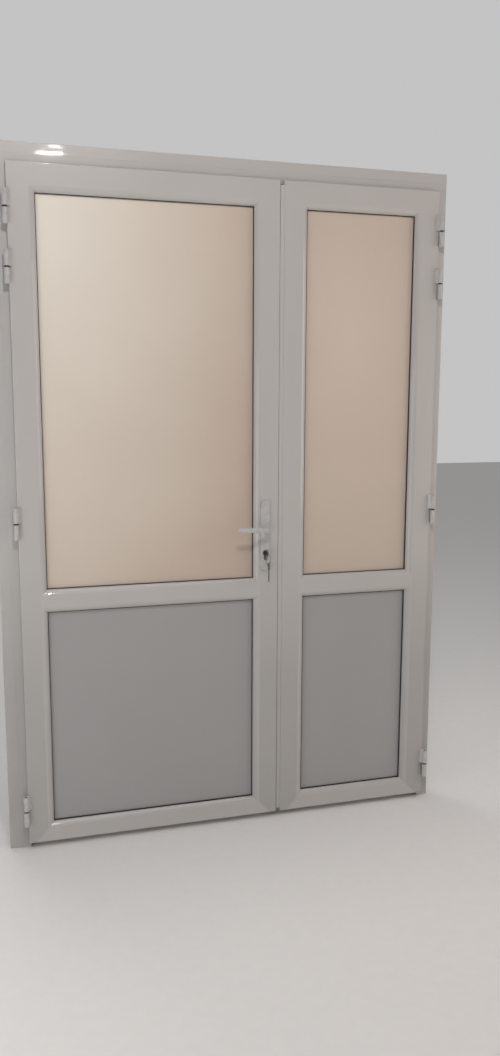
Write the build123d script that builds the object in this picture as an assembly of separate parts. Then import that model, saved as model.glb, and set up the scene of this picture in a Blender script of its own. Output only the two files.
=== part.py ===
from build123d import *
import os

os.makedirs("parts", exist_ok=True)

# Double-leaf entrance door of hollow white plastic profiles, in its own frame, all sizes in millimetres.
# X runs along the wall, Y from the room (minus) to the outside (plus), Z up.
# The origin is on the floor, midway across the frame, at the middle of the leaves' thickness.

# Overall sizes
frame_width = 1455.0
frame_height = 2140.0
main_leaf_width = 820.0
meeting_strip = 13.5
floor_gap = 18.0
mid_rail_height = 798.0

# Profile sizes: a section's first coordinate runs from its outer edge towards the pane, its second is Y
leaf_depth = 60.0
frame_depth = 60.0
frame_face = 26.0
flange_width = 32.0
right_flange_width = 6.0
flange_thickness = 4.0
flange_setback = 1.5
sash_lip = 20.0
sash_body = 40.0
lip_thickness = 15.0
lip_overlap = 8.0
bead_width = 20.0
bead_flat = 3.0
mid_rail_body = 32.0
nib_thickness = 10.0
seal_gap = 3.0
wall = 2.8
web = 1.6
hardware_groove = 16.4
groove_depth = 3.0
clip_height = 4.0
clip_depth = 4.0
clip_setback = 6.0
edge_radius = 2.5
small_radius = 1.2

# Steel tubes inside the main chambers
steel_wall = 1.5
steel_clearance = 0.3
frame_steel_inset = 11.2

# Glazing
glass_thickness = 4.0
pane_depth = 24.0
pane_setback = 23.0
pane_clearance = 5.0
spacer_width = 12.0
gasket_width = 6.0
gasket_reach = 1.8
gasket_rise = 3.0
packer_length = 100.0
packer_inset = 90.0
packer_clearance = 1.0
board_pitch = 50.0
board_wall = 1.6

# Clearances: between parts that move past each other, round pins, round parts in drilled holes, round slides
play = 0.3
pin_play = 0.05
drill_play = 0.5
slide_play = 1.0

# How far a cutting body runs past what it cuts
over = 1.0

# Hinges
hinge_length = 96.0
hinge_radius = 8.0
hinge_split = 5.0
hinge_offset_x = 5.0
hinge_offset_y = 10.0
hinge_pin_radius = 4.5
hinge_pin_inset = 1.5
hinge_bush_step = 1.0
hinge_flap_edge = 3.0
hinge_stud_radius = 2.0
hinge_stud_spacing = 28.0
hinge_floor_height = 131.0
hinge_top_drop = 127.0
hinge_pair_spacing = 166.0

# Lock, cylinder, keys
lock_backset = 25.0
handle_height = 1000.0
handle_to_key = 80.0
case_thickness = 15.0
case_wall = 1.5
case_below_key = 30.0
case_above_handle = 55.0
faceplate_thickness = 3.0
faceplate_width = 16.0
faceplate_reach = 20.0
bolt_thickness = 12.0
bolt_height = 22.0
bolt_above_key = 37.0
bolt_length = 30.0
bolt_throw = 20.0
latch_height = 16.0
latch_above_handle = 28.0
latch_throw = 9.0
latch_length = 29.0
latch_nose = 2.5
bolt_bevel = 1.0
cylinder_radius = 8.5
cylinder_drop = 24.5
cylinder_lobe = 10.0
cylinder_proud = 2.0
follower_step = 0.5
plug_radius = 6.5
cam_radius = 13.0
cam_width = 9.6
key_thickness = 2.2
key_blade = 8.4
key_bow_radius = 12.5
key_hole_radius = 3.6
key_shoulder = 4.0
key_tip = 2.0
key_notches = 5
key_notch_depth = 1.1
ring_radius = 18.0
ring_wire = 0.9
ring_turn = 50.0
ring_side = 5.2
ring_lift = 1.3

# Handle
plate_width = 30.0
plate_length = 229.0
plate_below_key = 58.0
plate_thickness = 8.0
plate_shell = 2.2
plate_corner = 12.0
plate_round = 3.0
plate_screw_inset = 15.0
screw_radius = 2.5
screw_head = 4.6
screw_head_height = 2.0
screw_head_depth = 0.2
lever_reach = 105.0
lever_projection = 55.0
lever_height = 15.0
lever_thickness = 10.0
lever_neck_radius = 8.5
lever_bend = 16.0
lever_rise = 4.0
neck_gap = 2.0
socket_wall = 2.0
spindle_size = 8.0

# Meeting-edge cover profile, strike and flush bolts on the second leaf
airspace = sash_lip - lip_overlap
cover_overlap = 4.0
cover_thickness = 12.0
cover_end_gap = 4.0
nose_setback = 1.0
nose_gap = 0.9
nose_radius = 0.6
astragal_floor_gap = 12.0
astragal_top_gap = 14.0
strike_thickness = 2.0
strike_narrowing = 4.0
strike_inset = 1.0
flush_rod_radius = 6.0
flush_rod_length = 260.0
top_bolt_throw = 20.0
bottom_bolt_throw = 32.0
bottom_bolt_drop = 8.0
flush_plate_width = 24.0
flush_plate_reach = 10.0
flush_plate_end = 4.0
flush_tab_inset = 30.0
flush_tab_length = 16.0
flush_tab_half = 3.0
flush_tab_proud = 1.0
flush_guide_length = 20.0
flush_rod_y = 10.0
keep_thickness = 2.0

# Holes for the fixings into the wall
fixing_radius = 4.0
fixing_spacing = 570.0
fixing_first = 195.0

# Derived positions across the frame
frame_left = -frame_width / 2 + flange_width
frame_right = frame_width / 2 - right_flange_width
frame_top = frame_height - flange_width
main_left = frame_left + frame_face
main_right = main_left + main_leaf_width
second_left = main_right + meeting_strip
second_right = frame_right - frame_face
second_leaf_width = second_right - second_left
sash_face = sash_lip + sash_body + bead_width
rebate = sash_lip + sash_body
sash_top = frame_top - frame_face
sash_base = floor_gap - sash_lip
sash_height = sash_top - sash_base

# Derived positions through the thickness
room_face = -leaf_depth / 2
back_face = leaf_depth / 2
lip_back = room_face + lip_thickness
nib_front = back_face - nib_thickness
frame_front = lip_back + seal_gap
frame_stop = back_face + seal_gap
frame_back = frame_front + frame_depth
pane_front = room_face + pane_setback
pane_back = pane_front + pane_depth
bead_back = pane_front - seal_gap
hinge_y = room_face - hinge_offset_y

# Values that several sections share
seal_foot = 3.0
seal_root = 2.0
seal_side = 1.0
lip_seal_foot = (seal_foot, 2 * seal_foot)
lip_seal_end = 2 * seal_foot
nib_seal_foot = (sash_face - wall - seal_foot, sash_face - wall)
stop_seal_end = frame_face + lip_overlap + sash_lip - wall
stop_seal_foot = (stop_seal_end - seal_foot, stop_seal_end)
chamber_u = (sash_lip + groove_depth + wall, rebate - wall)
chamber_v = (lip_back - wall + web, -(lip_back - wall + web))
clip_v = (room_face + clip_setback, room_face + clip_setback + clip_height)
bead_round = 24.0
steel_u = (chamber_u[0] + steel_clearance, chamber_u[1] - steel_clearance)
steel_v = (chamber_v[0] + steel_clearance, chamber_v[1] - steel_clearance)
frame_steel_v = (frame_front + frame_steel_inset, frame_stop - wall - steel_clearance)


def block(x0, x1, y0, y1, z0, z1):
    """A box between two corners."""
    return Pos((x0 + x1) / 2, (y0 + y1) / 2, (z0 + z1) / 2) * Box(abs(x1 - x0), abs(y1 - y0), abs(z1 - z0))


def rod_x(x0, x1, y, z, radius):
    """A round bar along X."""
    return Pos((x0 + x1) / 2, y, z) * Rot(0, 90, 0) * Cylinder(radius, abs(x1 - x0))


def rod_y(x, y0, y1, z, radius):
    """A round bar along Y."""
    return Pos(x, (y0 + y1) / 2, z) * Rot(90, 0, 0) * Cylinder(radius, abs(y1 - y0))


def rod_z(x, y, z0, z1, radius):
    """A round bar along Z."""
    return Pos(x, y, (z0 + z1) / 2) * Cylinder(radius, abs(z1 - z0))


def area(u0, u1, v0, v1):
    """A rectangle in a section's own plane."""
    return Pos((u0 + u1) / 2, (v0 + v1) / 2) * Rectangle(abs(u1 - u0), abs(v1 - v0))


def outline(*points):
    """A closed flat face through the points."""
    return make_face(Polyline(*points, close=True))


def rounded(face, corners, radius):
    """Rounds the corners of a flat face that lie at the given points."""
    picked = [min(face.vertices(), key=lambda p: (Vector(p.X, p.Y) - Vector(*c)).length) for c in corners]
    return fillet(picked, radius)


def side_prism(points, y0, y1):
    """A prism along Y over an outline given in X and Z."""
    return Pos(0, y1, 0) * extrude(Plane.XZ * outline(*points), y1 - y0)


def save(name, *shapes):
    """Writes one named piece, or a group of like pieces, to its STEP file."""
    solids = [solid for shape in shapes for solid in shape.solids()]
    whole = solids[0] if len(solids) == 1 else Compound(children=solids)
    whole.label = name
    export_step(whole, f"parts/{name}.step")


# Sections

def sash_section():
    """Leaf profile: overlap lip on the room side, body, glazing nib on the outside."""
    shape = outline(
        (0, room_face), (rebate, room_face), (rebate, nib_front), (sash_face, nib_front),
        (sash_face, back_face), (sash_lip, back_face), (sash_lip, lip_back), (0, lip_back),
    )
    shape = rounded(shape, [(0, room_face)], edge_radius)
    shape = rounded(shape, [(0, lip_back), (sash_face, nib_front), (sash_lip, back_face)], small_radius)
    shape = rounded(shape, [(sash_face, back_face)], edge_radius)
    front_v0, front_v1 = room_face + wall, lip_back - wall
    back_v0, back_v1 = -front_v1, back_face - wall
    shape -= area(lip_seal_end + wall, sash_lip - web / 2, front_v0, front_v1)
    shape -= area(sash_lip + web / 2, rebate - clip_depth - wall, front_v0, front_v1)
    shape -= area(*chamber_u, *chamber_v)
    shape -= area(sash_lip + wall, rebate - wall, back_v0, back_v1)
    shape -= area(rebate - wall + web, sash_face - 2 * wall - seal_foot, nib_front + wall, back_v1)
    shape -= area(sash_lip, sash_lip + groove_depth, -hardware_groove / 2, hardware_groove / 2)
    shape -= area(rebate - clip_depth, rebate, clip_v[0], clip_v[1])
    shape -= area(*lip_seal_foot, lip_back - seal_root, lip_back)
    shape -= area(*nib_seal_foot, nib_front, nib_front + seal_root)
    return shape


def frame_section(flange_reach):
    """Frame profile: body, outside stop lip and a cover flange over the plaster, cut to this reach."""
    body_end = frame_face + lip_overlap
    lip_end = body_end + sash_lip
    shape = outline(
        (0, frame_front), (body_end, frame_front), (body_end, frame_stop),
        (lip_end, frame_stop), (lip_end, frame_back), (0, frame_back),
    )
    soft = [(0, frame_front), (body_end, frame_front), (lip_end, frame_stop), (0, frame_back)]
    shape = rounded(shape, soft, small_radius)
    shape = rounded(shape, [(lip_end, frame_back)], edge_radius)
    steel_room = (frame_steel_v[0] - steel_clearance, frame_steel_v[1] + steel_clearance)
    shape -= area(wall, body_end - wall, frame_front + wall, steel_room[0] - web)
    shape -= area(wall, body_end - wall, *steel_room)
    shape -= area(wall, body_end - wall, steel_room[1] + web, frame_back - wall)
    shape -= area(body_end - wall + web, stop_seal_foot[0] - wall, frame_stop + wall, frame_back - wall)
    shape -= area(*stop_seal_foot, frame_stop, frame_stop + seal_root)
    flange_front = frame_front + flange_setback
    flange = area(-flange_reach, 0, flange_front, flange_front + flange_thickness)
    return shape + rounded(flange, [(-flange_reach, flange_front)], edge_radius)


def mid_rail_section():
    """Rail between glass and panel: body, two nibs on the outside, a bead groove on each side."""
    half = mid_rail_body / 2
    reach = half + bead_width
    shape = outline(
        (-half, room_face), (half, room_face), (half, nib_front), (reach, nib_front),
        (reach, back_face), (-reach, back_face), (-reach, nib_front), (-half, nib_front),
    )
    shape = rounded(shape, [(reach, nib_front), (-reach, nib_front)], small_radius)
    shape = rounded(shape, [(reach, back_face), (-reach, back_face)], edge_radius)
    inner = half - clip_depth - wall
    shape -= area(-inner, inner, room_face + wall, lip_back - wall)
    shape -= area(-half + wall, half - wall, *chamber_v)
    shape -= area(-half + wall, half - wall, chamber_v[1] + web, back_face - wall)
    for side in (-1, 1):
        shape -= area(side * half, side * (half - clip_depth), *clip_v)
        near, far = side * (half - wall + web), side * (reach - 2 * wall - seal_foot)
        shape -= area(near, far, nib_front + wall, back_face - wall)
        foot = [side * (edge - rebate + half) for edge in nib_seal_foot]
        shape -= area(*foot, nib_front, nib_front + seal_root)
    return shape


def bead_section():
    """Glazing bead: flat beside the sash, round shoulder down to the pane, hollow, with a clip foot."""
    tip_v = bead_back - seal_gap
    shoulder = [(bead_flat, room_face), (bead_width, tip_v)]
    edge = [
        Line((0, bead_back), (0, room_face)),
        Line((0, room_face), shoulder[0]),
        RadiusArc(shoulder[0], shoulder[1], -bead_round),
        Line(shoulder[1], (bead_width, bead_back)),
        Line((bead_width, bead_back), (0, bead_back)),
    ]
    shape = make_face(edge)
    skin = wall * 0.7
    shape -= outline(
        (skin, room_face + wall), (bead_flat, room_face + wall),
        (bead_width - 2 * wall, bead_back - seal_gap), (bead_width - 2 * wall, bead_back - skin),
        (skin, bead_back - skin),
    )
    shape += area(play - clip_depth, 0, clip_v[0] + play, clip_v[1] - play)
    return shape


def tube_section(u0, u1, v0, v1):
    """Square steel tube wall."""
    return area(u0, u1, v0, v1) - area(u0 + steel_wall, u1 - steel_wall, v0 + steel_wall, v1 - steel_wall)


# Bars and rings

def mitred_bar(section, length, reach):
    """A bar along Z whose ends are cut at 45 degrees, longest at the outer edge."""
    deep = leaf_depth + frame_depth
    ends = [(0, 0), (reach, reach), (reach, length - reach), (0, length)]
    return extrude(section, length) & side_prism(ends, -deep, deep)


def frame_bar(length, flange_reach, start, next_flange):
    """A frame bar along Z, mitred at its far end against a bar with the next flange.

    The start is the flange of the bar it meets there, or None where it stands square on the floor.
    """
    reach = frame_face + lip_overlap + sash_lip
    low = 0 if start is None else start
    body = Pos(0, 0, -low) * extrude(frame_section(flange_reach), low + length + next_flange)
    square = [(-flange_reach, 0), (reach, 0)]
    foot = square if start is None else [(-flange_reach, -start), (0, 0), (reach, reach)]
    deep = leaf_depth + frame_depth
    head = [(reach, length - reach), (0, length), (-flange_reach, length + next_flange)]
    return body & side_prism(foot + head, -deep, deep)


def four_bars(section, reach, x0, x1, z0, z1):
    """Left, right, top and bottom bars of a mitred rectangle."""
    upright = mitred_bar(section, z1 - z0, reach)
    level = Rot(0, 90, 0) * mitred_bar(section, x1 - x0, reach)
    return [
        Pos(x0, 0, z0) * upright,
        Pos(x1, 0, z0) * mirror(upright, about=Plane.YZ),
        Pos(x0, 0, z1) * level,
        Pos(x0, 0, z0) * mirror(level, about=Plane.XY),
    ]


def ring(x0, x1, z0, z1, outer, inner, y0, y1):
    """A rectangular ring whose sides lie between two insets from a rectangle."""
    whole = block(x0 + outer, x1 - outer, y0, y1, z0 + outer, z1 - outer)
    return whole - block(x0 + inner, x1 - inner, y0 - over, y1 + over, z0 + inner, z1 - inner)


# A leaf, drawn with its hinge edge at X = 0 and its free edge at X = width

def hinge_heights():
    """Middle of each hinge, from the lowest up."""
    top = sash_top - hinge_top_drop
    return [hinge_floor_height, (hinge_floor_height + top) / 2, top - hinge_pair_spacing, top]


def stud_heights(low):
    """Heights of a hinge half's two studs, for a half that starts at this height."""
    middle = low + (hinge_length - hinge_split) / 4
    return [middle - hinge_stud_spacing / 2, middle + hinge_stud_spacing / 2]


def hinge_sets():
    """All hinges of one leaf: frame halves, leaf halves, pins, bushes, and the holes for their studs."""
    names = ("frame_half", "leaf_half", "pin", "bush", "frame_holes", "leaf_holes")
    made = {name: [] for name in names}
    half = hinge_length / 2
    x = -hinge_offset_x
    lug = (x - hinge_radius, x / 2)
    frame_stud_x = (lug[0] + lug[1]) / 2
    leaf_stud_x = lip_seal_end + hinge_stud_radius / 2
    flap_end = leaf_stud_x + 1.5 * hinge_stud_radius
    flap = outline((x, hinge_y), (x + hinge_radius, hinge_y), (flap_end, room_face - hinge_flap_edge),
                   (flap_end, room_face), (x, room_face))
    frame_depth_reached = frame_steel_v[0] + 3 * steel_wall
    leaf_depth_reached = lip_back - wall
    bore = hinge_pin_radius + pin_play
    stud_bore = hinge_stud_radius + pin_play
    for middle in hinge_heights():
        low, high = middle - half, middle + half
        split_low, split_high = middle - hinge_split / 2, middle + hinge_split / 2
        lower = rod_z(x, hinge_y, low, split_low, hinge_radius)
        lower += block(*lug, hinge_y, frame_front, low, split_low)
        lower -= rod_z(x, hinge_y, low - over, split_low + over, bore)
        upper = rod_z(x, hinge_y, split_high, high, hinge_radius)
        upper += Pos(0, 0, split_high) * extrude(flap, high - split_high)
        upper -= rod_z(x, hinge_y, split_high - over, high + over, bore)
        for z in stud_heights(low):
            lower += rod_y(frame_stud_x, frame_front - over, frame_depth_reached, z, hinge_stud_radius)
            hole = rod_y(frame_stud_x, frame_front - over, frame_depth_reached + play, z, stud_bore)
            made["frame_holes"].append(hole)
        for z in stud_heights(split_high):
            upper += rod_y(leaf_stud_x, room_face - over, leaf_depth_reached, z, hinge_stud_radius)
            hole = rod_y(leaf_stud_x, room_face - over, leaf_depth_reached + play, z, stud_bore)
            made["leaf_holes"].append(hole)
        pin = rod_z(x, hinge_y, low + hinge_pin_inset, high - hinge_pin_inset, hinge_pin_radius)
        bush = rod_z(x, hinge_y, split_low, split_high - play, hinge_radius - hinge_bush_step)
        bush -= rod_z(x, hinge_y, split_low - over, split_high + over, bore)
        made["frame_half"].append(lower)
        made["leaf_half"].append(upper)
        made["pin"].append(pin)
        made["bush"].append(bush)
    return made


def glazing(x0, x1, z0, z1):
    """Beads and gaskets round one rebate opening."""
    beads = four_bars(bead_section(), bead_width, x0, x1, z0, z1)
    inner = bead_width + gasket_reach
    room_gasket = ring(x0, x1, z0, z1, inner - gasket_width, inner, bead_back, pane_front)
    room_gasket += ring(x0, x1, z0, z1, bead_width, inner, bead_back - gasket_rise, bead_back)
    foot_out = nib_seal_foot[0] - rebate
    out_gasket = ring(x0, x1, z0, z1, foot_out - seal_side, inner, pane_back, nib_front)
    out_gasket += gasket_foot(x0, x1, z0, z1)
    return beads, [room_gasket, out_gasket]


def gasket_foot(x0, x1, z0, z1):
    """Foot of the outside gasket, also the groove it is pushed into."""
    foot_out, foot_in = (edge - rebate for edge in nib_seal_foot)
    return ring(x0, x1, z0, z1, foot_out, foot_in, nib_front, nib_front + seal_root)


def board(x0, x1, z0, z1):
    """Hollow infill board, cut from an extruded sheet with upright webs."""
    section = area(x0, x1, pane_front, pane_back)
    count = round((x1 - x0) / board_pitch)
    pitch = (x1 - x0 - board_wall) / count
    for i in range(count):
        start = x0 + board_wall + i * pitch
        section -= area(start, start + pitch - board_wall, pane_front + board_wall, pane_back - board_wall)
    return Pos(0, 0, z0) * extrude(section, z1 - z0)


def packers(x0, x1, z0, z1, pane_z1):
    """Setting blocks under the pane and one beside it at the top."""
    made = []
    depth = (pane_front + packer_clearance, pane_back - packer_clearance)
    for x in (x0 + packer_inset, x1 - packer_inset - packer_length):
        made.append(block(x, x + packer_length, *depth, z0, z0 + pane_clearance))
    top = pane_z1 - packer_inset
    made.append(block(x1 - pane_clearance, x1, *depth, top - packer_length, top))
    return made


def floor_cut(width):
    """Cuts a leaf's foot off above the floor and rounds the room-side edge that it leaves."""
    cut = block(-over, width + over, -leaf_depth, leaf_depth, sash_base - over, floor_gap)
    front, top = room_face + edge_radius, floor_gap + edge_radius
    corner = block(-over, width + over, room_face - over, front, floor_gap - over, top)
    return cut + (corner - rod_x(-2 * over, width + 2 * over, front, top, edge_radius))


def leaf(width, hinges):
    """Every piece of one leaf apart from its lock or its cover profile."""
    made = {}
    bars = four_bars(sash_section(), sash_face, 0, width, sash_base, sash_top)
    stile, free_stile, top_rail, bottom_rail = bars
    below = floor_cut(width)
    for hole in hinges["leaf_holes"]:
        stile -= hole
    made["hinge_stile"] = stile - below
    made["free_stile"] = free_stile - below
    made["top_rail"] = top_rail
    made["bottom_rail"] = bottom_rail - below

    x0, x1 = rebate, width - rebate
    bar = Pos(x0, 0, mid_rail_height) * Rot(0, 90, 0) * extrude(mid_rail_section(), x1 - x0)
    reach = mid_rail_body / 2 + bead_width + over
    for side_x in ((x0 - over, x0 + bead_width), (x1 - bead_width, x1 + over)):
        bar -= block(*side_x, nib_front, back_face + over, mid_rail_height - reach, mid_rail_height + reach)
    made["mid_rail"] = bar

    upright = extrude(tube_section(*steel_u, *steel_v), sash_height - 2 * rebate)
    level = Rot(0, 90, 0) * extrude(tube_section(*steel_u, *steel_v), width - 2 * rebate)
    half = mid_rail_body / 2 - wall - steel_clearance
    middle = Rot(0, 90, 0) * extrude(tube_section(-half, half, *steel_v), x1 - x0)
    made["steels"] = [
        Pos(0, 0, sash_base + rebate) * upright,
        Pos(width, 0, sash_base + rebate) * mirror(upright, about=Plane.YZ),
        Pos(rebate, 0, sash_top) * level,
        Pos(rebate, 0, sash_base) * mirror(level, about=Plane.XY),
        Pos(x0, 0, mid_rail_height) * middle,
    ]

    rebate_top, rebate_low = sash_top - rebate, sash_base + rebate
    rail_top, rail_low = mid_rail_height + mid_rail_body / 2, mid_rail_height - mid_rail_body / 2
    glass_beads, glass_gaskets = glazing(x0, x1, rail_top, rebate_top)
    panel_beads, panel_gaskets = glazing(x0, x1, rebate_low, rail_low)
    for z0, z1 in ((rail_top, rebate_top), (rebate_low, rail_low)):
        groove = gasket_foot(x0, x1, z0, z1)
        made["hinge_stile"] -= groove
        made["free_stile"] -= groove
    made["beads"] = glass_beads + panel_beads
    made["glazing_gaskets"] = glass_gaskets + panel_gaskets
    c = pane_clearance
    gx0, gx1, gz0, gz1 = x0 + c, x1 - c, rail_top + c, rebate_top - c
    made["glass_front"] = block(gx0, gx1, pane_front, pane_front + glass_thickness, gz0, gz1)
    made["glass_back"] = block(gx0, gx1, pane_back - glass_thickness, pane_back, gz0, gz1)
    gap = (pane_front + glass_thickness, pane_back - glass_thickness)
    made["glass_spacer"] = ring(gx0, gx1, gz0, gz1, 0, spacer_width, *gap)
    made["panel"] = board(gx0, gx1, rebate_low + c, rail_low - c)
    made["packers"] = packers(x0, x1, rail_top, rebate_top, gz1)
    made["packers"] += packers(x0, x1, rebate_low, rail_low, rail_low)

    seal_face = frame_front - play
    lip_seal = ring(0, width, sash_base, sash_top, lip_seal_foot[0] - seal_side, lip_seal_end + seal_side,
                    lip_back, seal_face)
    lip_seal += ring(0, width, sash_base, sash_top, *lip_seal_foot, lip_back - seal_root, lip_back)
    made["lip_seal"] = lip_seal - below
    made["hinge_halves"] = hinges["leaf_half"]
    return made


def place_main(shape):
    """Main leaf: hinged on the left jamb."""
    return Pos(main_left, 0, 0) * shape


def place_second(shape):
    """Second leaf: hinged on the right jamb, so turned over."""
    return Pos(second_right, 0, 0) * mirror(shape, about=Plane.YZ)


# Lock places: u is the distance from the main leaf's free edge
key_height = handle_height - handle_to_key
lock_u = sash_lip + lock_backset
lock_x = main_right - lock_u
case_u = (sash_lip + faceplate_thickness + play, rebate - play)
case_z = (key_height - case_below_key, handle_height + case_above_handle)
plate_z = (key_height - plate_below_key, key_height - plate_below_key + plate_length)
plate_front = room_face - plate_thickness
bolt_z = (key_height + bolt_above_key - bolt_height / 2, key_height + bolt_above_key + bolt_height / 2)
latch_z = (handle_height + latch_above_handle - latch_height / 2,
           handle_height + latch_above_handle + latch_height / 2)
screw_z = (plate_z[0] + plate_screw_inset, plate_z[1] - plate_screw_inset)
cylinder_half = leaf_depth / 2 + plate_thickness + cylinder_proud
follower_radius = cylinder_radius + follower_step
cam_gap = cam_width / 2 + play
key_blade_length = cylinder_half + key_shoulder - cam_gap - play


def at_u(u):
    """X of a place that lies this far in from the main leaf's free edge."""
    return main_right - u


def cylinder_outline(grow):
    """Profile cylinder's outline on its own axis, in X and Z, grown by a clearance."""
    lobe = cylinder_lobe / 2
    foot = -cylinder_drop + lobe
    shape = Circle(cylinder_radius + grow)
    shape += area(-lobe - grow, lobe + grow, foot, 0)
    shape += Pos(0, foot) * Circle(lobe + grow)
    return shape


def cylinder_bar(grow, y0, y1):
    """Profile cylinder's outline run along Y at the key's place."""
    return Pos(lock_x, y1, key_height) * extrude(Plane.XZ * cylinder_outline(grow), y1 - y0)


def lock_cuts(leaf_piece):
    """Cuts the lock pocket, cylinder, spindle and screw holes in a stile or its steel."""
    cut = leaf_piece - block(at_u(sash_lip - over), at_u(rebate + over), -case_thickness / 2 - play,
                             case_thickness / 2 + play, case_z[0] - play, case_z[1] + play)
    deep = leaf_depth
    cut -= cylinder_bar(drill_play, -deep, deep)
    cut -= rod_y(lock_x, -deep, deep, handle_height, lever_neck_radius + slide_play)
    for z in screw_z:
        cut -= rod_y(lock_x, -deep, deep, z, screw_radius + drill_play)
    return cut


def lock_pieces():
    """Lock case, faceplate, latch, dead bolt, cylinder, plug, key, ring and spare key."""
    made = {}
    t, half = case_wall, case_thickness / 2
    case = block(at_u(case_u[0]), at_u(case_u[1]), -half, half, *case_z)
    case -= block(at_u(case_u[0] + t), at_u(case_u[1] - t), -half + t, half - t, case_z[0] + t, case_z[1] - t)
    case -= cylinder_bar(play, -leaf_depth, leaf_depth)
    case -= rod_y(lock_x, -leaf_depth, leaf_depth, handle_height, follower_radius + play)
    slot = bolt_thickness / 2 + play
    mouth = (at_u(sash_lip - over), at_u(case_u[0] + t + over))
    bolt_slot = block(*mouth, -slot, slot, bolt_z[0] - play, bolt_z[1] + play)
    latch_slot = block(*mouth, -slot, slot, latch_z[0] - play, latch_z[1] + play)
    made["lock_case"] = case - bolt_slot - latch_slot

    wide = faceplate_width / 2
    face = block(at_u(sash_lip), at_u(sash_lip + faceplate_thickness), -wide, wide,
                 case_z[0] - faceplate_reach, case_z[1] + faceplate_reach)
    face = fillet(face.edges().filter_by(Axis.X), wide - play)
    for z in (case_z[0] - faceplate_reach / 2, case_z[1] + faceplate_reach / 2, key_height):
        face -= rod_x(at_u(sash_lip - over), at_u(sash_lip + faceplate_thickness + over), 0, z, screw_radius)
    made["lock_faceplate"] = face - bolt_slot - latch_slot

    side = bolt_thickness / 2
    bolt = block(at_u(sash_lip), at_u(sash_lip + bolt_length), -side, side, *bolt_z)
    made["dead_bolt"] = chamfer(bolt.faces().sort_by(Axis.X)[-1].edges(), bolt_bevel)

    tip = sash_lip - latch_throw
    latch_face = outline((at_u(tip), -side), (at_u(tip), -side + latch_nose), (at_u(sash_lip), side),
                         (at_u(tip + latch_length), side), (at_u(tip + latch_length), -side))
    made["latch_bolt"] = Pos(0, 0, latch_z[0]) * extrude(latch_face, latch_height)

    body = cylinder_bar(0, -cylinder_half, cylinder_half)
    body -= rod_y(lock_x, -cylinder_half - over, -cam_gap, key_height, plug_radius + pin_play)
    wide = cylinder_radius + over
    body -= block(lock_x - wide, lock_x + wide, -cam_gap, cam_gap, key_height - cam_radius - play,
                  key_height + wide)
    key_slot = key_blade / 2 + play
    thin = key_thickness / 2 + pin_play
    body -= block(lock_x - thin, lock_x + thin, cylinder_half / 2, cylinder_half + over,
                  key_height - key_slot, key_height + key_slot)
    made["lock_cylinder"] = body

    plug = rod_y(lock_x, -cylinder_half - play, 0, key_height, plug_radius)
    cam = rod_y(lock_x, -cam_width / 2, cam_width / 2, key_height, cylinder_radius - play)
    cam_half = cylinder_lobe / 2 - slide_play
    cam += block(lock_x - cam_half, lock_x + cam_half, -cam_width / 2, cam_width / 2,
                 key_height - cam_radius, key_height)
    cam &= rod_y(lock_x, -cam_width / 2, cam_width / 2, key_height, cam_radius)
    plug_slot = block(lock_x - thin, lock_x + thin, -cylinder_half - over, -cam_gap,
                      key_height - key_slot, key_height + key_slot)
    made["cylinder_plug"] = plug + cam - plug_slot

    key = key_shape()
    bow_y = -cylinder_half - key_shoulder - key_bow_radius
    made["key"] = Pos(lock_x, bow_y, key_height) * key
    hole = Vector(lock_x, bow_y - key_bow_radius / 2, key_height)
    side = Vector(ring_side, 0, 0).rotate(Axis.Z, ring_turn)
    half_drop = (ring_radius ** 2 - ring_side ** 2) ** 0.5
    rest = key_hole_radius - ring_wire - ring_lift
    centre = hole + side - Vector(0, 0, rest + half_drop)
    made["key_ring"] = Pos(*centre) * Rot(0, 0, ring_turn) * Rot(90, 0, 0) * Torus(ring_radius, ring_wire)
    spare_hole = centre + side - Vector(0, 0, half_drop + rest)
    made["spare_key"] = Pos(*spare_hole) * Rot(-90, 0, 0) * Pos(0, key_bow_radius / 2, 0) * key
    return made


def key_shape():
    """Flat key on its bow's centre, blade along +Y, with a ring hole near the free end of the bow."""
    t = key_thickness / 2 - pin_play
    bow = rod_x(-t, t, 0, 0, key_bow_radius)
    start = key_bow_radius - key_tip
    end = key_bow_radius + key_blade_length
    half = key_blade / 2
    pitch = (key_blade_length - 2 * key_shoulder) / key_notches
    teeth = []
    for i in range(key_notches):
        y = key_bow_radius + 1.5 * key_shoulder + i * pitch
        depth = key_notch_depth * (1 + (i * 2) % 3 / 2)
        teeth += [(y, half), (y + pitch / 2, half - depth)]
    tip = [(end - key_tip, -half), (end, 0), (end - key_tip, half - key_tip / 2)]
    edge = [(start, -half), *tip, *teeth[::-1], (start, half)]
    blade = Pos(-t, 0, 0) * extrude(Plane.YZ * outline(*edge), 2 * t)
    return bow + blade - rod_x(-t - over, t + over, -key_bow_radius / 2, 0, key_hole_radius)


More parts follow.
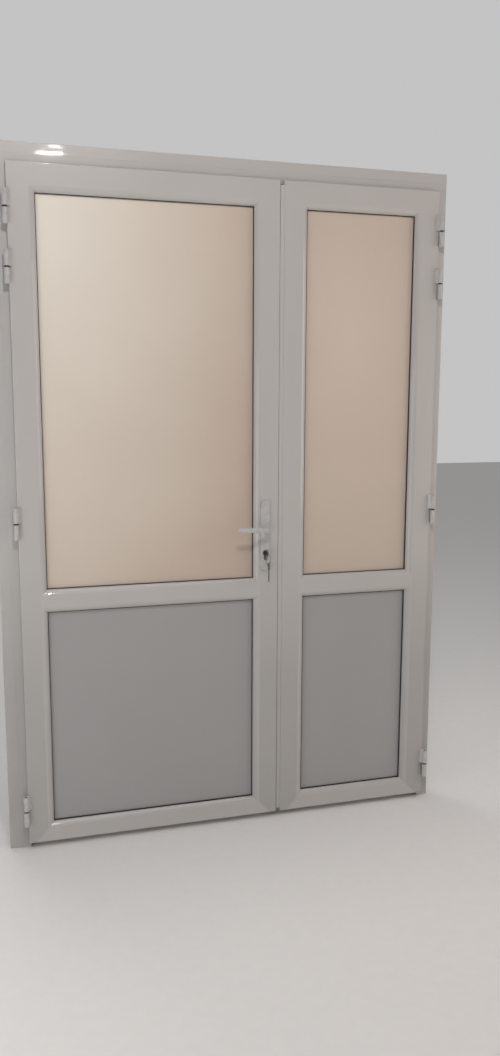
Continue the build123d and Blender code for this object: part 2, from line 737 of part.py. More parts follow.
def handle_pieces():
    """Backplates, levers, spindle and through screws; the outside ones mirror the room side's."""
    made = {}
    middle_z = (plate_z[0] + plate_z[1]) / 2
    face = RectangleRounded(plate_width, plate_length, plate_corner)
    plate = Pos(lock_x, room_face, middle_z) * extrude(Plane.XZ * face, plate_thickness)
    plate = fillet(plate.faces().sort_by(Axis.Y)[0].edges(), plate_round)
    hollow = RectangleRounded(plate_width - 2 * plate_shell, plate_length - 2 * plate_shell,
                              plate_corner - plate_shell)
    plate -= Pos(lock_x, room_face, middle_z) * extrude(Plane.XZ * hollow, plate_thickness - plate_shell)
    for z in screw_z:
        plate += rod_y(lock_x, room_face, plate_front + plate_shell, z, screw_head + web)
    plate -= rod_y(lock_x, plate_front - over, room_face + over, handle_height, lever_neck_radius + play)
    plate -= cylinder_bar(play, -leaf_depth, room_face + over)
    inside = plate
    blind = plate
    head_y = (plate_front + screw_head_depth, plate_front + screw_head_depth + screw_head_height)
    for z in screw_z:
        inside -= rod_y(lock_x, plate_front - over, room_face + over, z, screw_radius + pin_play)
        inside -= rod_y(lock_x, plate_front - over, head_y[1] + pin_play, z, screw_head + pin_play)
        blind -= rod_y(lock_x, plate_front + plate_shell, room_face + over, z, screw_radius + pin_play)
    made["inside_plate"] = inside
    made["outside_plate"] = mirror(blind, about=Plane.XZ)

    screws = []
    for z in screw_z:
        shank = rod_y(lock_x, head_y[0], -plate_front - plate_shell - slide_play, z, screw_radius)
        screws.append(shank + rod_y(lock_x, *head_y, z, screw_head))
    made["plate_screws"] = screws

    arm_y = room_face - lever_projection + lever_thickness / 2
    neck_start = room_face - neck_gap
    path = FilletPolyline((0, neck_start, 0), (0, arm_y, 0), (-lever_reach * 0.55, arm_y, lever_rise * 0.3),
                          (-lever_reach + lever_height / 2, arm_y, lever_rise), radius=lever_bend)
    start = Plane(origin=(0, neck_start, 0), x_dir=(1, 0, 0), z_dir=(0, -1, 0))
    section = start * RectangleRounded(lever_thickness, lever_height, lever_thickness * 0.42)
    arm = sweep(section, path=path)
    tip = rod_y(-lever_reach + lever_height / 2, arm_y - lever_thickness / 2, arm_y + lever_thickness / 2,
                lever_rise, lever_height / 2)
    tip = fillet(tip.edges(), lever_thickness * 0.3)
    neck_end = arm_y + lever_bend * 0.6
    neck = rod_y(0, neck_end, neck_start, 0, lever_neck_radius)
    lever = Pos(lock_x, 0, handle_height) * (arm + tip + neck)
    square = spindle_size / 2 + pin_play
    socket_end = neck_end + socket_wall
    lever -= block(lock_x - square, lock_x + square, socket_end, room_face,
                   handle_height - square, handle_height + square)
    made["inside_lever"] = lever
    made["outside_lever"] = mirror(lever, about=Plane.XZ)
    s = spindle_size / 2
    made["spindle"] = block(lock_x - s, lock_x + s, socket_end + play, -socket_end - play,
                            handle_height - s, handle_height + s)
    follower = rod_y(lock_x, -case_thickness / 2, case_thickness / 2, handle_height, follower_radius)
    made["follower"] = follower - block(lock_x - square, lock_x + square, -leaf_depth, leaf_depth,
                                        handle_height - square, handle_height + square)
    return made


# Cover profile on the second leaf's meeting edge
astragal_back_x = second_left + sash_lip
astragal_face_x = main_right - sash_lip + airspace
astragal_top = sash_top - astragal_top_gap
astragal_low = floor_gap + astragal_floor_gap
flush_x = (astragal_face_x + astragal_back_x) / 2
cover_back = frame_stop + cover_thickness


def astragal():
    """Hollow profile that fills the joint, with a nose in front and a cover strip behind."""
    x0, x1 = astragal_face_x, astragal_back_x
    length = astragal_top - astragal_low
    section = area(x0, x1, frame_front, frame_stop)
    nose = area(main_right + nose_gap, second_left - pin_play, room_face + nose_setback, frame_front)
    section += rounded(nose, [(main_right + nose_gap, room_face + nose_setback)], nose_radius)
    cover_x0, cover_x1 = main_right - sash_lip - cover_overlap, x1 + lip_overlap
    cover = area(cover_x0, cover_x1, frame_stop, cover_back)
    section += rounded(cover, [(cover_x0, cover_back), (cover_x1, cover_back)], edge_radius)
    section += area(x1, cover_x1, back_face, frame_stop)
    section -= area(x0 + wall, x1 - wall, frame_front + wall, frame_stop - wall)
    section -= area(x0 + wall, x1 - wall, frame_stop, cover_back - wall)
    bar = Pos(0, 0, astragal_low) * extrude(section, length)
    cover_top = frame_top - frame_face - lip_overlap - sash_lip - cover_end_gap
    bar -= block(x0 - leaf_depth, x1 + leaf_depth, back_face, cover_back + over, cover_top,
                 astragal_top + over)
    slot = bolt_thickness / 2 + slide_play
    through = (x0 - over, x0 + wall + over)
    bar -= block(*through, -slot, slot, bolt_z[0] - slide_play, bolt_z[1] + slide_play)
    for side in (-1, 1):
        low, high = sorted(flush_tab_z(side))
        tab_slot = flush_tab_half + slide_play
        bar -= block(*through, flush_rod_y - tab_slot, flush_rod_y + tab_slot, low - slide_play,
                     high + slide_play)
    return bar


def strike():
    """Strike plate on the cover profile, open on the room side at the latch."""
    x1 = astragal_face_x
    x0 = x1 - strike_thickness
    plate = block(x0, x1, frame_front + strike_inset, faceplate_width - strike_narrowing,
                  case_z[0] - faceplate_reach, case_z[1] + faceplate_reach)
    slot = bolt_thickness / 2 + slide_play
    through = (x0 - over, x1 + over)
    plate -= block(*through, -slot, slot, bolt_z[0] - slide_play, bolt_z[1] + slide_play)
    plate -= block(*through, frame_front, slot, latch_z[0] - 2 * slide_play, latch_z[1] + 2 * slide_play)
    for z in (case_z[0] - faceplate_reach / 2, case_z[1] + faceplate_reach / 2):
        plate -= rod_x(*through, 0, z, screw_radius)
    return plate


def flush_end(side):
    """Height of the cover profile's end where this bolt comes out: side 1 is the top."""
    return astragal_top if side > 0 else astragal_low


def flush_tab_z(side):
    """Near and far end of the slot that the bolt's thumb tab travels in."""
    tail = flush_end(side) - side * (flush_rod_length - flush_tab_inset)
    throw = top_bolt_throw if side > 0 else bottom_bolt_throw
    return tail, tail + side * (throw + flush_tab_length + 2 * slide_play)


def flush_bolt(side):
    """Sliding rod with its thumb tab, drawn back."""
    end = flush_end(side) if side > 0 else flush_end(side) - bottom_bolt_drop
    tail = flush_end(side) - side * flush_rod_length
    rod = rod_z(flush_x, flush_rod_y, tail, end, flush_rod_radius)
    rod = chamfer(rod.faces().sort_by(Axis.Z)[-1 if side > 0 else 0].edges(), bolt_bevel)
    near = flush_tab_z(side)[0] + side * slide_play
    tab = block(astragal_face_x - strike_thickness - flush_tab_proud, flush_x, flush_rod_y - flush_tab_half,
                flush_rod_y + flush_tab_half, near, near + side * flush_tab_length)
    return rod + tab


def flush_plate(side):
    """Slotted face plate of a flush bolt, with the guide that carries the rod inside the profile."""
    x1 = astragal_face_x
    end = flush_end(side)
    low, high = sorted((end - side * (flush_rod_length + flush_plate_reach), end - side * flush_plate_end))
    half = flush_plate_width / 2
    plate = block(x1 - strike_thickness, x1, flush_rod_y - half, flush_rod_y + half, low, high)
    slot = flush_tab_half + play
    plate -= block(x1 - strike_thickness - over, x1 + over, flush_rod_y - slot, flush_rod_y + slot,
                   *sorted(flush_tab_z(side)))
    inside = (x1 + wall + play, astragal_back_x - wall - play)
    guide = sorted((end, end - side * flush_guide_length))
    guide_half = half - slide_play
    guide_block = block(*inside, flush_rod_y - guide_half, flush_rod_y + guide_half, *guide)
    rod_hole = rod_z(flush_x, flush_rod_y, guide[0] - over, guide[1] + over, flush_rod_radius + pin_play)
    return plate, guide_block - rod_hole


# The frame

def frame_pieces(stud_holes, bolt_hole):
    """Jambs, head, steel tubes, stop seal and the head keep."""
    made = {}
    reach = frame_face + lip_overlap + sash_lip
    left = Pos(frame_left, 0, 0) * frame_bar(frame_top, flange_width, None, flange_width)
    right = frame_bar(frame_top, right_flange_width, None, flange_width)
    right = Pos(frame_right, 0, 0) * mirror(right, about=Plane.YZ)
    head = frame_bar(frame_right - frame_left, flange_width, flange_width, right_flange_width)
    head = Pos(frame_left, 0, frame_top) * Rot(0, 90, 0) * head

    inset = wall + steel_clearance
    tube = tube_section(inset, frame_face + lip_overlap - inset, *frame_steel_v)
    upright = extrude(tube, frame_top - reach)
    steel_left = Pos(frame_left, 0, 0) * upright
    steel_right = Pos(frame_right, 0, 0) * mirror(upright, about=Plane.YZ)
    steel_head = Pos(frame_left + reach, 0, frame_top) * Rot(0, 90, 0) * extrude(
        tube, frame_right - frame_left - 2 * reach)

    hole_y = (frame_steel_v[0] + frame_steel_v[1]) / 2
    count = int((frame_top - 2 * fixing_first) // fixing_spacing) + 1
    for i in range(count):
        hole = rod_x(-frame_width, frame_width, hole_y, fixing_first + i * fixing_spacing, fixing_radius)
        stud_holes = stud_holes + [hole]
    uprights = [left, right, steel_left, steel_right]
    for hole in stud_holes:
        uprights = [piece - hole for piece in uprights]
    made["frame_left_jamb"] = uprights[0]
    made["frame_right_jamb"] = uprights[1]
    made["frame_head"] = head - bolt_hole
    made["frame_steel"] = [*uprights[2:], steel_head - bolt_hole]

    far = -2 * reach
    seal = ring(frame_left, frame_right, far, frame_top, stop_seal_foot[0] - seal_side,
                stop_seal_foot[1] + seal_side, back_face + play, frame_stop)
    seal += ring(frame_left, frame_right, far, frame_top, *stop_seal_foot, frame_stop, frame_stop + seal_root)
    made["frame_seal"] = seal - block(-frame_width, frame_width, -leaf_depth, frame_depth, far, 0)

    keep_z = frame_top - frame_face - lip_overlap
    half = flush_plate_width / 2
    keep = block(flush_x - half, flush_x + half, flush_rod_y - half, flush_rod_y + half,
                 keep_z - keep_thickness, keep_z)
    made["head_keep"] = keep - bolt_hole
    return made


# Build everything and write the files
hinges = hinge_sets()
stud_holes = [place_main(hole) for hole in hinges["frame_holes"]]
stud_holes += [place_second(hole) for hole in hinges["frame_holes"]]
keep_hole = rod_z(flush_x, flush_rod_y, astragal_top, astragal_top + top_bolt_throw + 2 * slide_play,
                  flush_rod_radius + 2 * play)
pieces = frame_pieces(stud_holes, keep_hole)
both = (place_main, place_second)
pieces["frame_hinge_halves"] = [place(half) for place in both for half in hinges["frame_half"]]
pieces["hinge_pins"] = [place(pin) for place in both for pin in hinges["pin"]]
pieces["hinge_bushes"] = [place(bush) for place in both for bush in hinges["bush"]]

leaf_names = {"hinge_stile": "hinge_stile", "top_rail": "top_rail", "mid_rail": "mid_rail",
              "bottom_rail": "bottom_rail", "steels": "steel", "beads": "beads",
              "glazing_gaskets": "glazing_gaskets", "glass_front": "glass_front", "glass_back": "glass_back",
              "glass_spacer": "glass_spacer", "panel": "panel", "packers": "packers", "lip_seal": "lip_seal",
              "hinge_halves": "hinge_halves"}
for prefix, width, place, free_name in (("main", main_leaf_width, place_main, "lock_stile"),
                                        ("second", second_leaf_width, place_second, "meeting_stile")):
    made = leaf(width, hinges)
    for key, name in list(leaf_names.items()) + [("free_stile", free_name)]:
        shapes = made[key] if isinstance(made[key], list) else [made[key]]
        pieces[f"{prefix}_{name}"] = [place(shape) for shape in shapes]

pieces["main_lock_stile"] = lock_cuts(pieces["main_lock_stile"][0])
pieces["main_steel"] = [lock_cuts(tube) for tube in pieces["main_steel"]]
pieces.update(lock_pieces())
pieces.update(handle_pieces())

cover_seal = block(main_right - sash_lip - cover_overlap + play, main_right - sash_lip - play,
                   back_face + play, frame_stop, astragal_low, astragal_top - sash_lip)
pieces["second_lip_seal"] = pieces["second_lip_seal"] + [cover_seal]
pieces["astragal"] = astragal()
pieces["lock_strike"] = strike()
pieces["top_flush_bolt"] = flush_bolt(1)
pieces["bottom_flush_bolt"] = flush_bolt(-1)
pieces["flush_bolt_plates"] = [*flush_plate(1), *flush_plate(-1)]

for name, shapes in pieces.items():
    save(name, *(shapes if isinstance(shapes, list) else [shapes]))
print(len(pieces), "pieces")
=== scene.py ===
import math

import bpy
from mathutils import Matrix, Vector

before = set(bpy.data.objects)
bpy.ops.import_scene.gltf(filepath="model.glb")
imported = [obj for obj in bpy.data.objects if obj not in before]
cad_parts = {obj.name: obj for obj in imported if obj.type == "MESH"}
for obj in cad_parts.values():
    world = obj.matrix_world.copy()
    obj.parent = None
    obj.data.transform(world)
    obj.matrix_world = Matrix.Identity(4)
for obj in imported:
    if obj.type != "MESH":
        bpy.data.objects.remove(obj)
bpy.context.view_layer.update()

# Photograph's view: image of 500 by 1056, focal length in its pixels, angles in degrees, place in metres
IMAGE_HEIGHT = 1056.0
FOCAL_PIXELS = 890.34
CAMERA_PLACE = (-0.7366, -2.7595, 1.4320)
CAMERA_YAW = -16.178
CAMERA_PITCH = -8.601
CAMERA_ROLL = -0.164
# Blender's sensor in millimetres, which lies along the image's longer side
SENSOR = 36.0

# Colours, linear
WHITE_PLASTIC = (0.545, 0.535, 0.52)
WHITE_METAL = (0.54, 0.54, 0.535)
# Board: its grey is partly its own light grey and partly painted shade of the less lit panel
BOARD_GREY_AND_SHADE = (0.405, 0.405, 0.405)
BLACK_RUBBER = (0.010, 0.008, 0.008)
GREY_RUBBER = (0.45, 0.45, 0.44)
BLACK_PLASTIC = (0.01, 0.01, 0.01)
BLUE_PLASTIC = (0.03, 0.08, 0.25)
ZINC = (0.50, 0.51, 0.52)
SPACER_METAL = (0.60, 0.61, 0.62)
BRUSHED_METAL = (0.55, 0.55, 0.54)
BOLT_METAL = (0.50, 0.49, 0.47)
# Painted shade: the steel pins are made near black for the shade of the bores they sit in
PIN_PAINTED_SHADE = (0.05, 0.05, 0.05)
# Painted reflection: key, ring and plug are made dark to show a dim room mirrored in the plating
NICKEL_PAINTED_DARK = (0.22, 0.21, 0.20)
NICKEL_PAINTED_DIM = (0.34, 0.33, 0.31)
PLUG_PAINTED_DARK = (0.12, 0.11, 0.10)
GLASS_GREEN = (0.62, 0.72, 0.68, 1)
FLOOR = (0.80, 0.80, 0.79)
# Clouded sheets with a painted glow of light from behind: colour at the middle of the glow and where they
# are dullest, then the place and the reach of the painted glow
CLOUDED_WITH_PAINTED_GLOW = {
    "main": ((0.91, 0.875, 0.77), (0.60, 0.49, 0.40), (-0.57, 0.0, 1.95), (0.75, 1.5)),
    "second": ((0.72, 0.615, 0.52), (0.585, 0.50, 0.415), (0.40, 0.0, 1.60), (0.45, 0.90)),
}

# Surfaces: refractive indices, roughness of a clear face, stretch of lines along a bar and of brush lines
SMOOTH_IOR = 1.5
RUBBER_IOR = 1.4
FACE_ROUGHNESS = 0.04
BAR_STRETCH = 0.012
BRUSH_STRETCH = 0.03
# Painted shade near the floor: the heights between which it fades out, and how much of the colour is left
# at the foot
SHADE_FADE_LOW = 0.5
SHADE_FADE_HIGH = 0.9
UPRIGHT_FOOT = 0.80
LEVEL_FOOT = 0.95
INFILL_FOOT = 0.92
# Edges with a turn above this many degrees stay sharp
SHARP_ANGLE = 30.0

# World and floor
WORLD_COLOUR = (0.96, 0.97, 1.0, 1)
WORLD_STRENGTH = 0.10
BACKGROUND_COLOUR = (1.0, 1.0, 1.0, 1)
BACKGROUND_STRENGTH = 0.55
FLOOR_REACH = 14.0

# Area lamps: place, the point they face, width and height, watts, colour
DOOR_MIDDLE = (0.0, 0.0, 1.2)
STUDIO_LAMPS = {
    "key_lamp": ((-0.45, -2.15, 2.98), DOOR_MIDDLE, (0.12, 0.12), 16, (1.0, 0.98, 1.0)),
    "left_lamp": ((-1.9, -1.6, 0.9), DOOR_MIDDLE, (1.4, 1.4), 14, (1.0, 0.97, 0.95)),
    "side_lamp": ((2.6, -1.4, 1.5), DOOR_MIDDLE, (1.6, 1.6), 23, (1.0, 0.86, 0.78)),
    "back_lamp": ((-1.5, 3.5, 3.2), DOOR_MIDDLE, (2.0, 1.5), 32, (1.0, 0.99, 0.97)),
}
# Two slim tubes below the ceiling lamp whose glints lie on the head of the frame
GLINT_COLOUR = (1.0, 0.92, 0.86)
GLINT_LAMPS = {
    "glint_lamp": ((-0.422, -1.7, 2.533), (-0.54, 0.0, 2.11), (0.12, 0.007), 0.38, GLINT_COLOUR),
    "upper_glint_lamp": ((-0.398, -1.7, 2.565), (-0.53, 0.0, 2.13), (0.06, 0.006), 0.10, GLINT_COLOUR),
}
# Sun from straight above, spread wide: place, strength, colour, spread in degrees
TOP_LIGHT = ((0, 0, 6), 0.9, (1.0, 0.98, 0.96), 40)
# Round lamp overhead: place, watts, colour, radius
CEILING_LAMP = ((-0.42, -1.7, 2.82), 11, (1.0, 0.74, 0.62), 0.05)

# Leaves, and the words by which the names of upright and level bars are known
LEAVES = ("main", "second")
UPRIGHTS = ("stile", "jamb", "astragal")
LEVELS = ("rail", "head")


class Nodes:
    """Short hand for building one material's node tree."""

    def __init__(self, name):
        self.material = bpy.data.materials.new(name)
        self.material.use_nodes = True
        self.tree = self.material.node_tree
        self.tree.nodes.clear()
        self.output = self.add("ShaderNodeOutputMaterial")
        self.shader = self.add("ShaderNodeBsdfPrincipled")
        self.link(self.shader, "BSDF", self.output, "Surface")
        self.coords = self.add("ShaderNodeTexCoord")

    def add(self, kind, **inputs):
        """Makes a node and fills in its inputs by name."""
        node = self.tree.nodes.new(kind)
        for key, value in inputs.items():
            node.inputs[key.replace("_", " ")].default_value = value
        return node

    def maths(self, kind, operation):
        """Makes a maths node that does one operation."""
        node = self.add(kind)
        node.operation = operation
        return node

    def link(self, a, a_socket, b, b_socket):
        self.tree.links.new(a.outputs[a_socket], b.inputs[b_socket])

    def settle(self, **inputs):
        """Sets plain values on the shader itself."""
        for key, value in inputs.items():
            self.shader.inputs[key.replace("_", " ")].default_value = value

    def noise(self, scale, detail, stretch=(1, 1, 1), roughness=0.5):
        """Noise in the object's own metres, drawn out along an axis by a small stretch factor there."""
        mapping = self.add("ShaderNodeMapping")
        mapping.inputs["Scale"].default_value = stretch
        self.link(self.coords, "Object", mapping, "Vector")
        texture = self.add("ShaderNodeTexNoise", Scale=scale, Detail=detail, Roughness=roughness)
        self.link(mapping, "Vector", texture, "Vector")
        return texture

    def spread(self, source, socket, low, high, start=0.35, end=0.65):
        """Maps a grey value between two numbers."""
        ramp = self.add("ShaderNodeMapRange")
        ramp.inputs["From Min"].default_value = start
        ramp.inputs["From Max"].default_value = end
        ramp.inputs["To Min"].default_value = low
        ramp.inputs["To Max"].default_value = high
        self.link(source, socket, ramp, "Value")
        return ramp

    def tint(self, colour, factor, socket="Result"):
        """Base colour: one colour times a grey factor."""
        mix = self.maths("ShaderNodeVectorMath", "SCALE")
        mix.inputs[0].default_value = colour
        self.link(factor, socket, mix, "Scale")
        self.link(mix, "Vector", self.shader, "Base Color")

    def vary_roughness(self, source, low, high):
        """Roughness that follows a noise between two numbers."""
        self.link(self.spread(source, "Fac", low, high), "Result", self.shader, "Roughness")

    def bump(self, source, strength, distance, below=None):
        """Fine relief that follows a noise, on top of an earlier one where that is given."""
        node = self.add("ShaderNodeBump", Strength=strength, Distance=distance)
        self.link(source, "Fac", node, "Height")
        if below is not None:
            self.link(below, "Normal", node, "Normal")
        self.link(node, "Normal", self.shader, "Normal")
        return node


def along(direction, stretch):
    """Stretch factors that draw a noise out along one axis."""
    return tuple(stretch if axis == direction else 1.0 for axis in "XYZ")


def plastic(name, colour, direction, foot, roughness=0.34):
    """Extruded plastic under a thin gloss: lines along the bar, a little dust, and painted shade that
    makes it darker near the floor.
    """
    m = Nodes(name)
    lines = m.noise(scale=260.0, stretch=along(direction, BAR_STRETCH), detail=3.0)
    clouds = m.noise(scale=3.2, stretch=(1, 1, 0.6), detail=5.0, roughness=0.6)
    specks = m.noise(scale=900.0, detail=2.0)
    # Painted shade: full colour above the upper height, darker down to the foot factor at the lower
    # height
    height = m.add("ShaderNodeSeparateXYZ")
    m.link(m.coords, "Object", height, "Vector")
    foot_shade = m.spread(height, "Z", low=foot, high=1.0, start=SHADE_FADE_LOW, end=SHADE_FADE_HIGH)
    dust = m.spread(clouds, "Fac", low=0.985, high=1.01)
    foot_shade_and_dust = m.maths("ShaderNodeMath", "MULTIPLY")
    m.link(foot_shade, "Result", foot_shade_and_dust, 0)
    m.link(dust, "Result", foot_shade_and_dust, 1)
    m.tint(colour, foot_shade_and_dust, "Value")
    m.vary_roughness(clouds, low=roughness * 0.95, high=roughness * 1.08)
    first = m.bump(lines, strength=0.07, distance=0.0003)
    m.bump(specks, strength=0.04, distance=0.0001, below=first)
    m.settle(IOR=SMOOTH_IOR, Coat_Weight=0.6, Coat_Roughness=FACE_ROUGHNESS, Coat_IOR=SMOOTH_IOR)
    m.settle(Specular_IOR_Level=0.3)
    return m.material


def painted(name, colour):
    """Smooth powder coat with a fine orange peel."""
    m = Nodes(name)
    peel = m.noise(scale=1400.0, detail=2.0)
    wear = m.noise(scale=40.0, detail=4.0)
    m.tint(colour, m.spread(wear, "Fac", low=0.96, high=1.02))
    m.vary_roughness(wear, low=0.22, high=0.34)
    m.bump(peel, strength=0.12, distance=0.0001)
    m.settle(IOR=SMOOTH_IOR)
    return m.material


def metal(name, colour, roughness, stretch=(1, 1, 1)):
    """Plated metal with stains and a fine grain, or brushed where the grain is drawn out."""
    m = Nodes(name)
    grain = m.noise(scale=700.0, stretch=stretch, detail=4.0)
    stains = m.noise(scale=60.0, detail=4.0)
    m.tint(colour, m.spread(stains, "Fac", low=0.85, high=1.05))
    m.vary_roughness(grain, low=roughness * 0.75, high=roughness * 1.35)
    m.bump(grain, strength=0.15, distance=0.0001)
    m.settle(Metallic=1.0)
    return m.material


def rubber(name, colour):
    """Matt seal rubber with a faint bloom."""
    m = Nodes(name)
    bloom = m.noise(scale=120.0, detail=5.0)
    m.tint(colour, m.spread(bloom, "Fac", low=0.8, high=1.6))
    m.bump(bloom, strength=0.2, distance=0.0002)
    m.settle(Roughness=0.55, IOR=RUBBER_IOR)
    return m.material


def moulded(name, colour):
    """Moulded inner plastic with a fine grain."""
    m = Nodes(name)
    grain = m.noise(scale=500.0, detail=3.0)
    m.tint(colour, m.spread(grain, "Fac", low=0.9, high=1.1))
    m.bump(grain, strength=0.2, distance=0.0002)
    m.settle(Roughness=0.5)
    return m.material


def clouded_glass_with_painted_glow(name, light, dull, glow_centre, reach):
    """Clouded sheet: warm milky layer with a painted glow of light round one spot, under a smooth glass
    face.
    """
    m = Nodes(name)
    # Painted glow: the colour runs from the glow colour to the dull one with distance from the spot
    offset = m.maths("ShaderNodeVectorMath", "SUBTRACT")
    offset.inputs[1].default_value = glow_centre
    m.link(m.coords, "Object", offset, 0)
    scaled = m.maths("ShaderNodeVectorMath", "MULTIPLY")
    scaled.inputs[1].default_value = (1 / reach[0], 0.0, 1 / reach[1])
    m.link(offset, "Vector", scaled, 0)
    glow_distance = m.maths("ShaderNodeVectorMath", "LENGTH")
    m.link(scaled, "Vector", glow_distance, 0)
    clouds = m.noise(scale=2.5, detail=5.0, roughness=0.55)
    total = m.maths("ShaderNodeMath", "ADD")
    m.link(glow_distance, "Value", total, 0)
    m.link(m.spread(clouds, "Fac", low=-0.04, high=0.04), "Result", total, 1)
    ramp = m.add("ShaderNodeValToRGB")
    ramp.color_ramp.elements[0].color = (*light, 1)
    ramp.color_ramp.elements[1].color = (*dull, 1)
    m.link(total, "Value", ramp, "Fac")
    m.link(ramp, "Color", m.shader, "Base Color")
    mist = m.noise(scale=350.0, detail=3.0)
    m.vary_roughness(mist, low=0.42, high=0.6)
    m.settle(IOR=SMOOTH_IOR, Coat_Weight=1.0, Coat_Roughness=FACE_ROUGHNESS, Coat_IOR=SMOOTH_IOR)
    return m.material


def clear_glass(name):
    """Clear sheet with light smears, greener and less clear at a glancing angle."""
    m = Nodes(name)
    smears = m.noise(scale=6.0, stretch=(1, 1, 0.4), detail=6.0, roughness=0.6)
    m.vary_roughness(smears, low=0.03, high=0.10)
    facing = m.add("ShaderNodeLayerWeight", Blend=0.25)
    cover = m.spread(facing, "Fresnel", low=0.12, high=0.7, start=0.0, end=1.0)
    m.link(cover, "Result", m.shader, "Alpha")
    m.settle(Base_Color=GLASS_GREEN, IOR=SMOOTH_IOR)
    return m.material


def dress(names, material):
    """Gives CAD nodes a material."""
    for name in names:
        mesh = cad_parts[name].data
        mesh.materials.clear()
        mesh.materials.append(material)


def dress_leaf_pairs(ending, material):
    """Gives a material to a piece that both leaves have."""
    dress([f"{leaf}_{ending}" for leaf in LEAVES], material)


def smooth(node_object):
    """Smooth shading across soft edges only."""
    mesh = node_object.data
    mesh.shade_smooth()
    mesh.set_sharp_from_angle(angle=math.radians(SHARP_ANGLE))


# Materials on the CAD nodes
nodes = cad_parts
upright_plastic = plastic("plastic_upright", WHITE_PLASTIC, "Z", foot=UPRIGHT_FOOT)
level_plastic = plastic("plastic_level", WHITE_PLASTIC, "X", foot=LEVEL_FOOT)
for name in nodes:
    if any(word in name for word in UPRIGHTS):
        dress([name], upright_plastic)
    elif any(name.endswith(word) for word in LEVELS):
        dress([name], level_plastic)
dress_leaf_pairs("beads", plastic("plastic_bead", WHITE_PLASTIC, "Z", roughness=0.32, foot=INFILL_FOOT))
dress([name for name in nodes if name.endswith("_gaskets")], rubber("gasket_rubber", BLACK_RUBBER))
dress([name for name in nodes if name.endswith("_seal")], rubber("seal_rubber", GREY_RUBBER))
dress(["hinge_bushes"], moulded("bush_plastic", BLACK_PLASTIC))
dress_leaf_pairs("packers", moulded("packer_plastic", BLUE_PLASTIC))
dress([name for name in nodes if "hinge_halves" in name], painted("hinge_paint", WHITE_METAL))
dress(["inside_plate", "outside_plate", "inside_lever", "outside_lever", "plate_screws"],
      painted("handle_paint", WHITE_METAL))
dress_leaf_pairs("panel", plastic("board_plastic", BOARD_GREY_AND_SHADE, "Z", roughness=0.42, foot=INFILL_FOOT))
dress([name for name in nodes if name.endswith("_steel")] + ["lock_case", "spindle", "follower"],
      metal("zinc_steel", ZINC, roughness=0.42))
dress_leaf_pairs("glass_spacer", metal("spacer_metal", SPACER_METAL, roughness=0.35))
dress(["lock_faceplate", "lock_strike", "flush_bolt_plates", "head_keep"],
      metal("brushed_plate", BRUSHED_METAL, roughness=0.30, stretch=along("Z", BRUSH_STRETCH)))
dress(["dead_bolt", "latch_bolt", "top_flush_bolt", "bottom_flush_bolt"],
      metal("bolt_metal", BOLT_METAL, roughness=0.28))
dress(["hinge_pins"], metal("pin_painted_shade", PIN_PAINTED_SHADE, roughness=0.45))
dress(["lock_cylinder", "key"], metal("nickel_painted_dark", NICKEL_PAINTED_DARK, roughness=0.36))
dress(["key_ring", "spare_key"], metal("nickel_painted_dim", NICKEL_PAINTED_DIM, roughness=0.40))
dress(["cylinder_plug"], metal("plug_painted_dark", PLUG_PAINTED_DARK, roughness=0.38))

for leaf, look in CLOUDED_WITH_PAINTED_GLOW.items():
    dress([f"{leaf}_glass_front"], clouded_glass_with_painted_glow(f"{leaf}_clouded", *look))
dress_leaf_pairs("glass_back", clear_glass("clear_sheet"))
for node_object in nodes.values():
    smooth(node_object)


# Floor, world, lamps and camera
def build_floor():
    """Plain pale floor."""
    mesh = bpy.data.meshes.new("floor")
    reach = FLOOR_REACH
    corners = [(-reach, -reach, 0), (reach, -reach, 0), (reach, reach, 0), (-reach, reach, 0)]
    mesh.from_pydata(corners, [], [(0, 1, 2, 3)])
    floor = bpy.data.objects.new("floor", mesh)
    bpy.context.scene.collection.objects.link(floor)
    m = Nodes("floor_pale")
    grain = m.noise(scale=30.0, detail=3.0)
    m.tint(FLOOR, m.spread(grain, "Fac", low=0.98, high=1.0))
    m.settle(Roughness=0.7)
    mesh.materials.append(m.material)


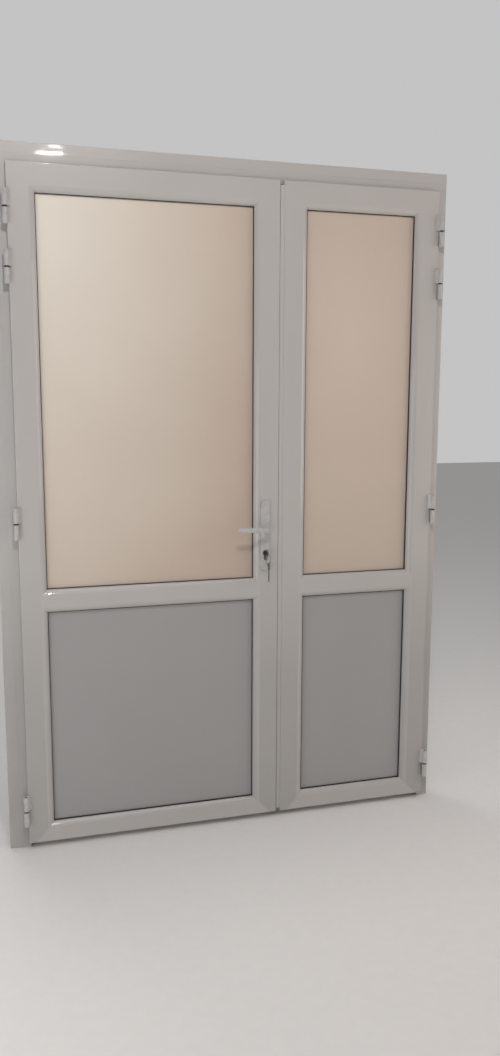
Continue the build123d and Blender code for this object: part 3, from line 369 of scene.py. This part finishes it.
def build_world():
    """Soft light from all round, with a plain pale background where the camera looks past the door."""
    world = bpy.data.worlds.new("studio")
    world.use_nodes = True
    tree = world.node_tree
    light = tree.nodes["Background"]
    light.inputs["Color"].default_value = WORLD_COLOUR
    light.inputs["Strength"].default_value = WORLD_STRENGTH
    seen = tree.nodes.new("ShaderNodeBackground")
    seen.inputs["Color"].default_value = BACKGROUND_COLOUR
    seen.inputs["Strength"].default_value = BACKGROUND_STRENGTH
    path = tree.nodes.new("ShaderNodeLightPath")
    pick = tree.nodes.new("ShaderNodeMixShader")
    tree.links.new(path.outputs["Is Camera Ray"], pick.inputs["Fac"])
    tree.links.new(light.outputs["Background"], pick.inputs[1])
    tree.links.new(seen.outputs["Background"], pick.inputs[2])
    tree.links.new(pick.outputs["Shader"], tree.nodes["World Output"].inputs["Surface"])
    bpy.context.scene.world = world


def add_lamp(name, kind, place, power, colour):
    """Adds a lamp of one kind, whose own settings the caller fills in."""
    data = bpy.data.lights.new(name, kind)
    data.energy = power
    data.color = colour
    lamp = bpy.data.objects.new(name, data)
    lamp.location = place
    bpy.context.scene.collection.objects.link(lamp)
    return lamp


def area_lamp(name, place, target, size, power, colour):
    """Rectangular lamp that faces a point."""
    lamp = add_lamp(name, "AREA", place, power, colour)
    lamp.data.shape = "RECTANGLE"
    lamp.data.size = size[0]
    lamp.data.size_y = size[1]
    lamp.rotation_euler = (Vector(target) - Vector(place)).to_track_quat("-Z", "Y").to_euler()


def top_light(place, strength, colour, spread_degrees):
    """Wide sun from above."""
    lamp = add_lamp("top_light", "SUN", place, strength, colour)
    lamp.data.angle = math.radians(spread_degrees)


def ceiling_lamp(place, power, colour, radius):
    """Round lamp that shines to all sides."""
    lamp = add_lamp("ceiling_lamp", "POINT", place, power, colour)
    lamp.data.shadow_soft_size = radius


def build_lamps():
    """All lamps of the studio."""
    for name, values in STUDIO_LAMPS.items():
        area_lamp(name, *values)
    top_light(*TOP_LIGHT)
    ceiling_lamp(*CEILING_LAMP)
    for name, values in GLINT_LAMPS.items():
        area_lamp(name, *values)


def build_camera():
    """Camera at the photograph's place and angle."""
    data = bpy.data.cameras.new("view")
    data.sensor_width = SENSOR
    data.lens = FOCAL_PIXELS / IMAGE_HEIGHT * SENSOR
    camera = bpy.data.objects.new("view", data)
    turn = (Matrix.Rotation(math.radians(CAMERA_YAW), 4, "Z")
            @ Matrix.Rotation(math.radians(CAMERA_PITCH), 4, "X")
            @ Matrix.Rotation(math.radians(CAMERA_ROLL), 4, "Y")
            @ Matrix.Rotation(math.radians(90), 4, "X"))
    camera.matrix_world = Matrix.Translation(CAMERA_PLACE) @ turn
    bpy.context.scene.collection.objects.link(camera)
    bpy.context.scene.camera = camera


build_floor()
build_world()
build_lamps()
build_camera()
bpy.context.scene.view_settings.view_transform = "Standard"
